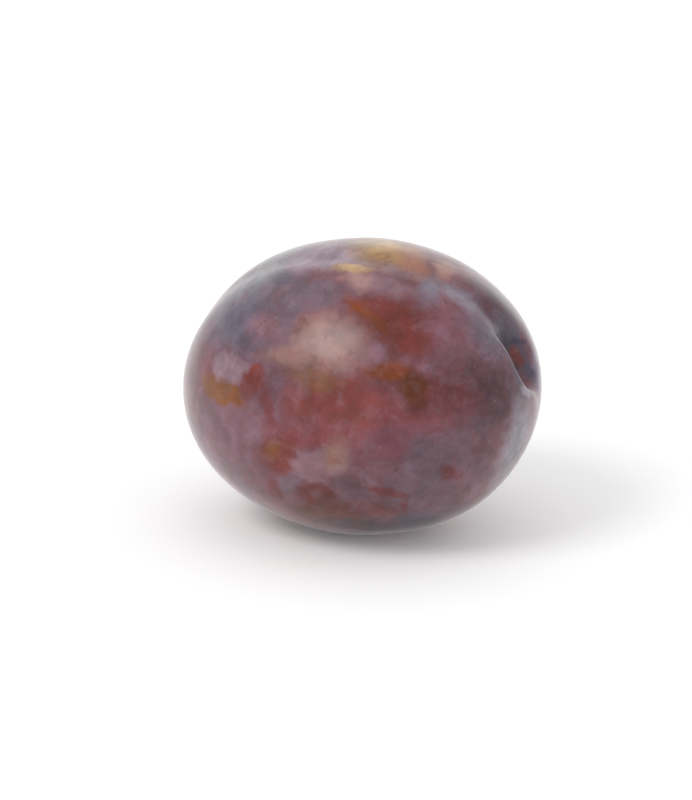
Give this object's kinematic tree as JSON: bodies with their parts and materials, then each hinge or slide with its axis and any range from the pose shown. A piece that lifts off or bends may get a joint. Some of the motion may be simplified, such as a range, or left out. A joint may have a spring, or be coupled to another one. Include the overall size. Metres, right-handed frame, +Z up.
{
  "type": "plum",
  "caption": "Ripe oval plum picked without its stalk, with a stem cavity, a shallow suture and a small flat to rest on.",
  "frame": {"origin": "on the surface that the plum rests on, under the middle of its outline", "axes": "+X along the plum towards the stem end, which lies a little raised; +Z up from the rest flat"},
  "size_m": [0.0562, 0.0452, 0.0445],
  "materials": {
    "plum_skin": "satin"
  },
  "bodies": {
    "root": {"plum": "plum_skin"}
  },
  "joints": []
}
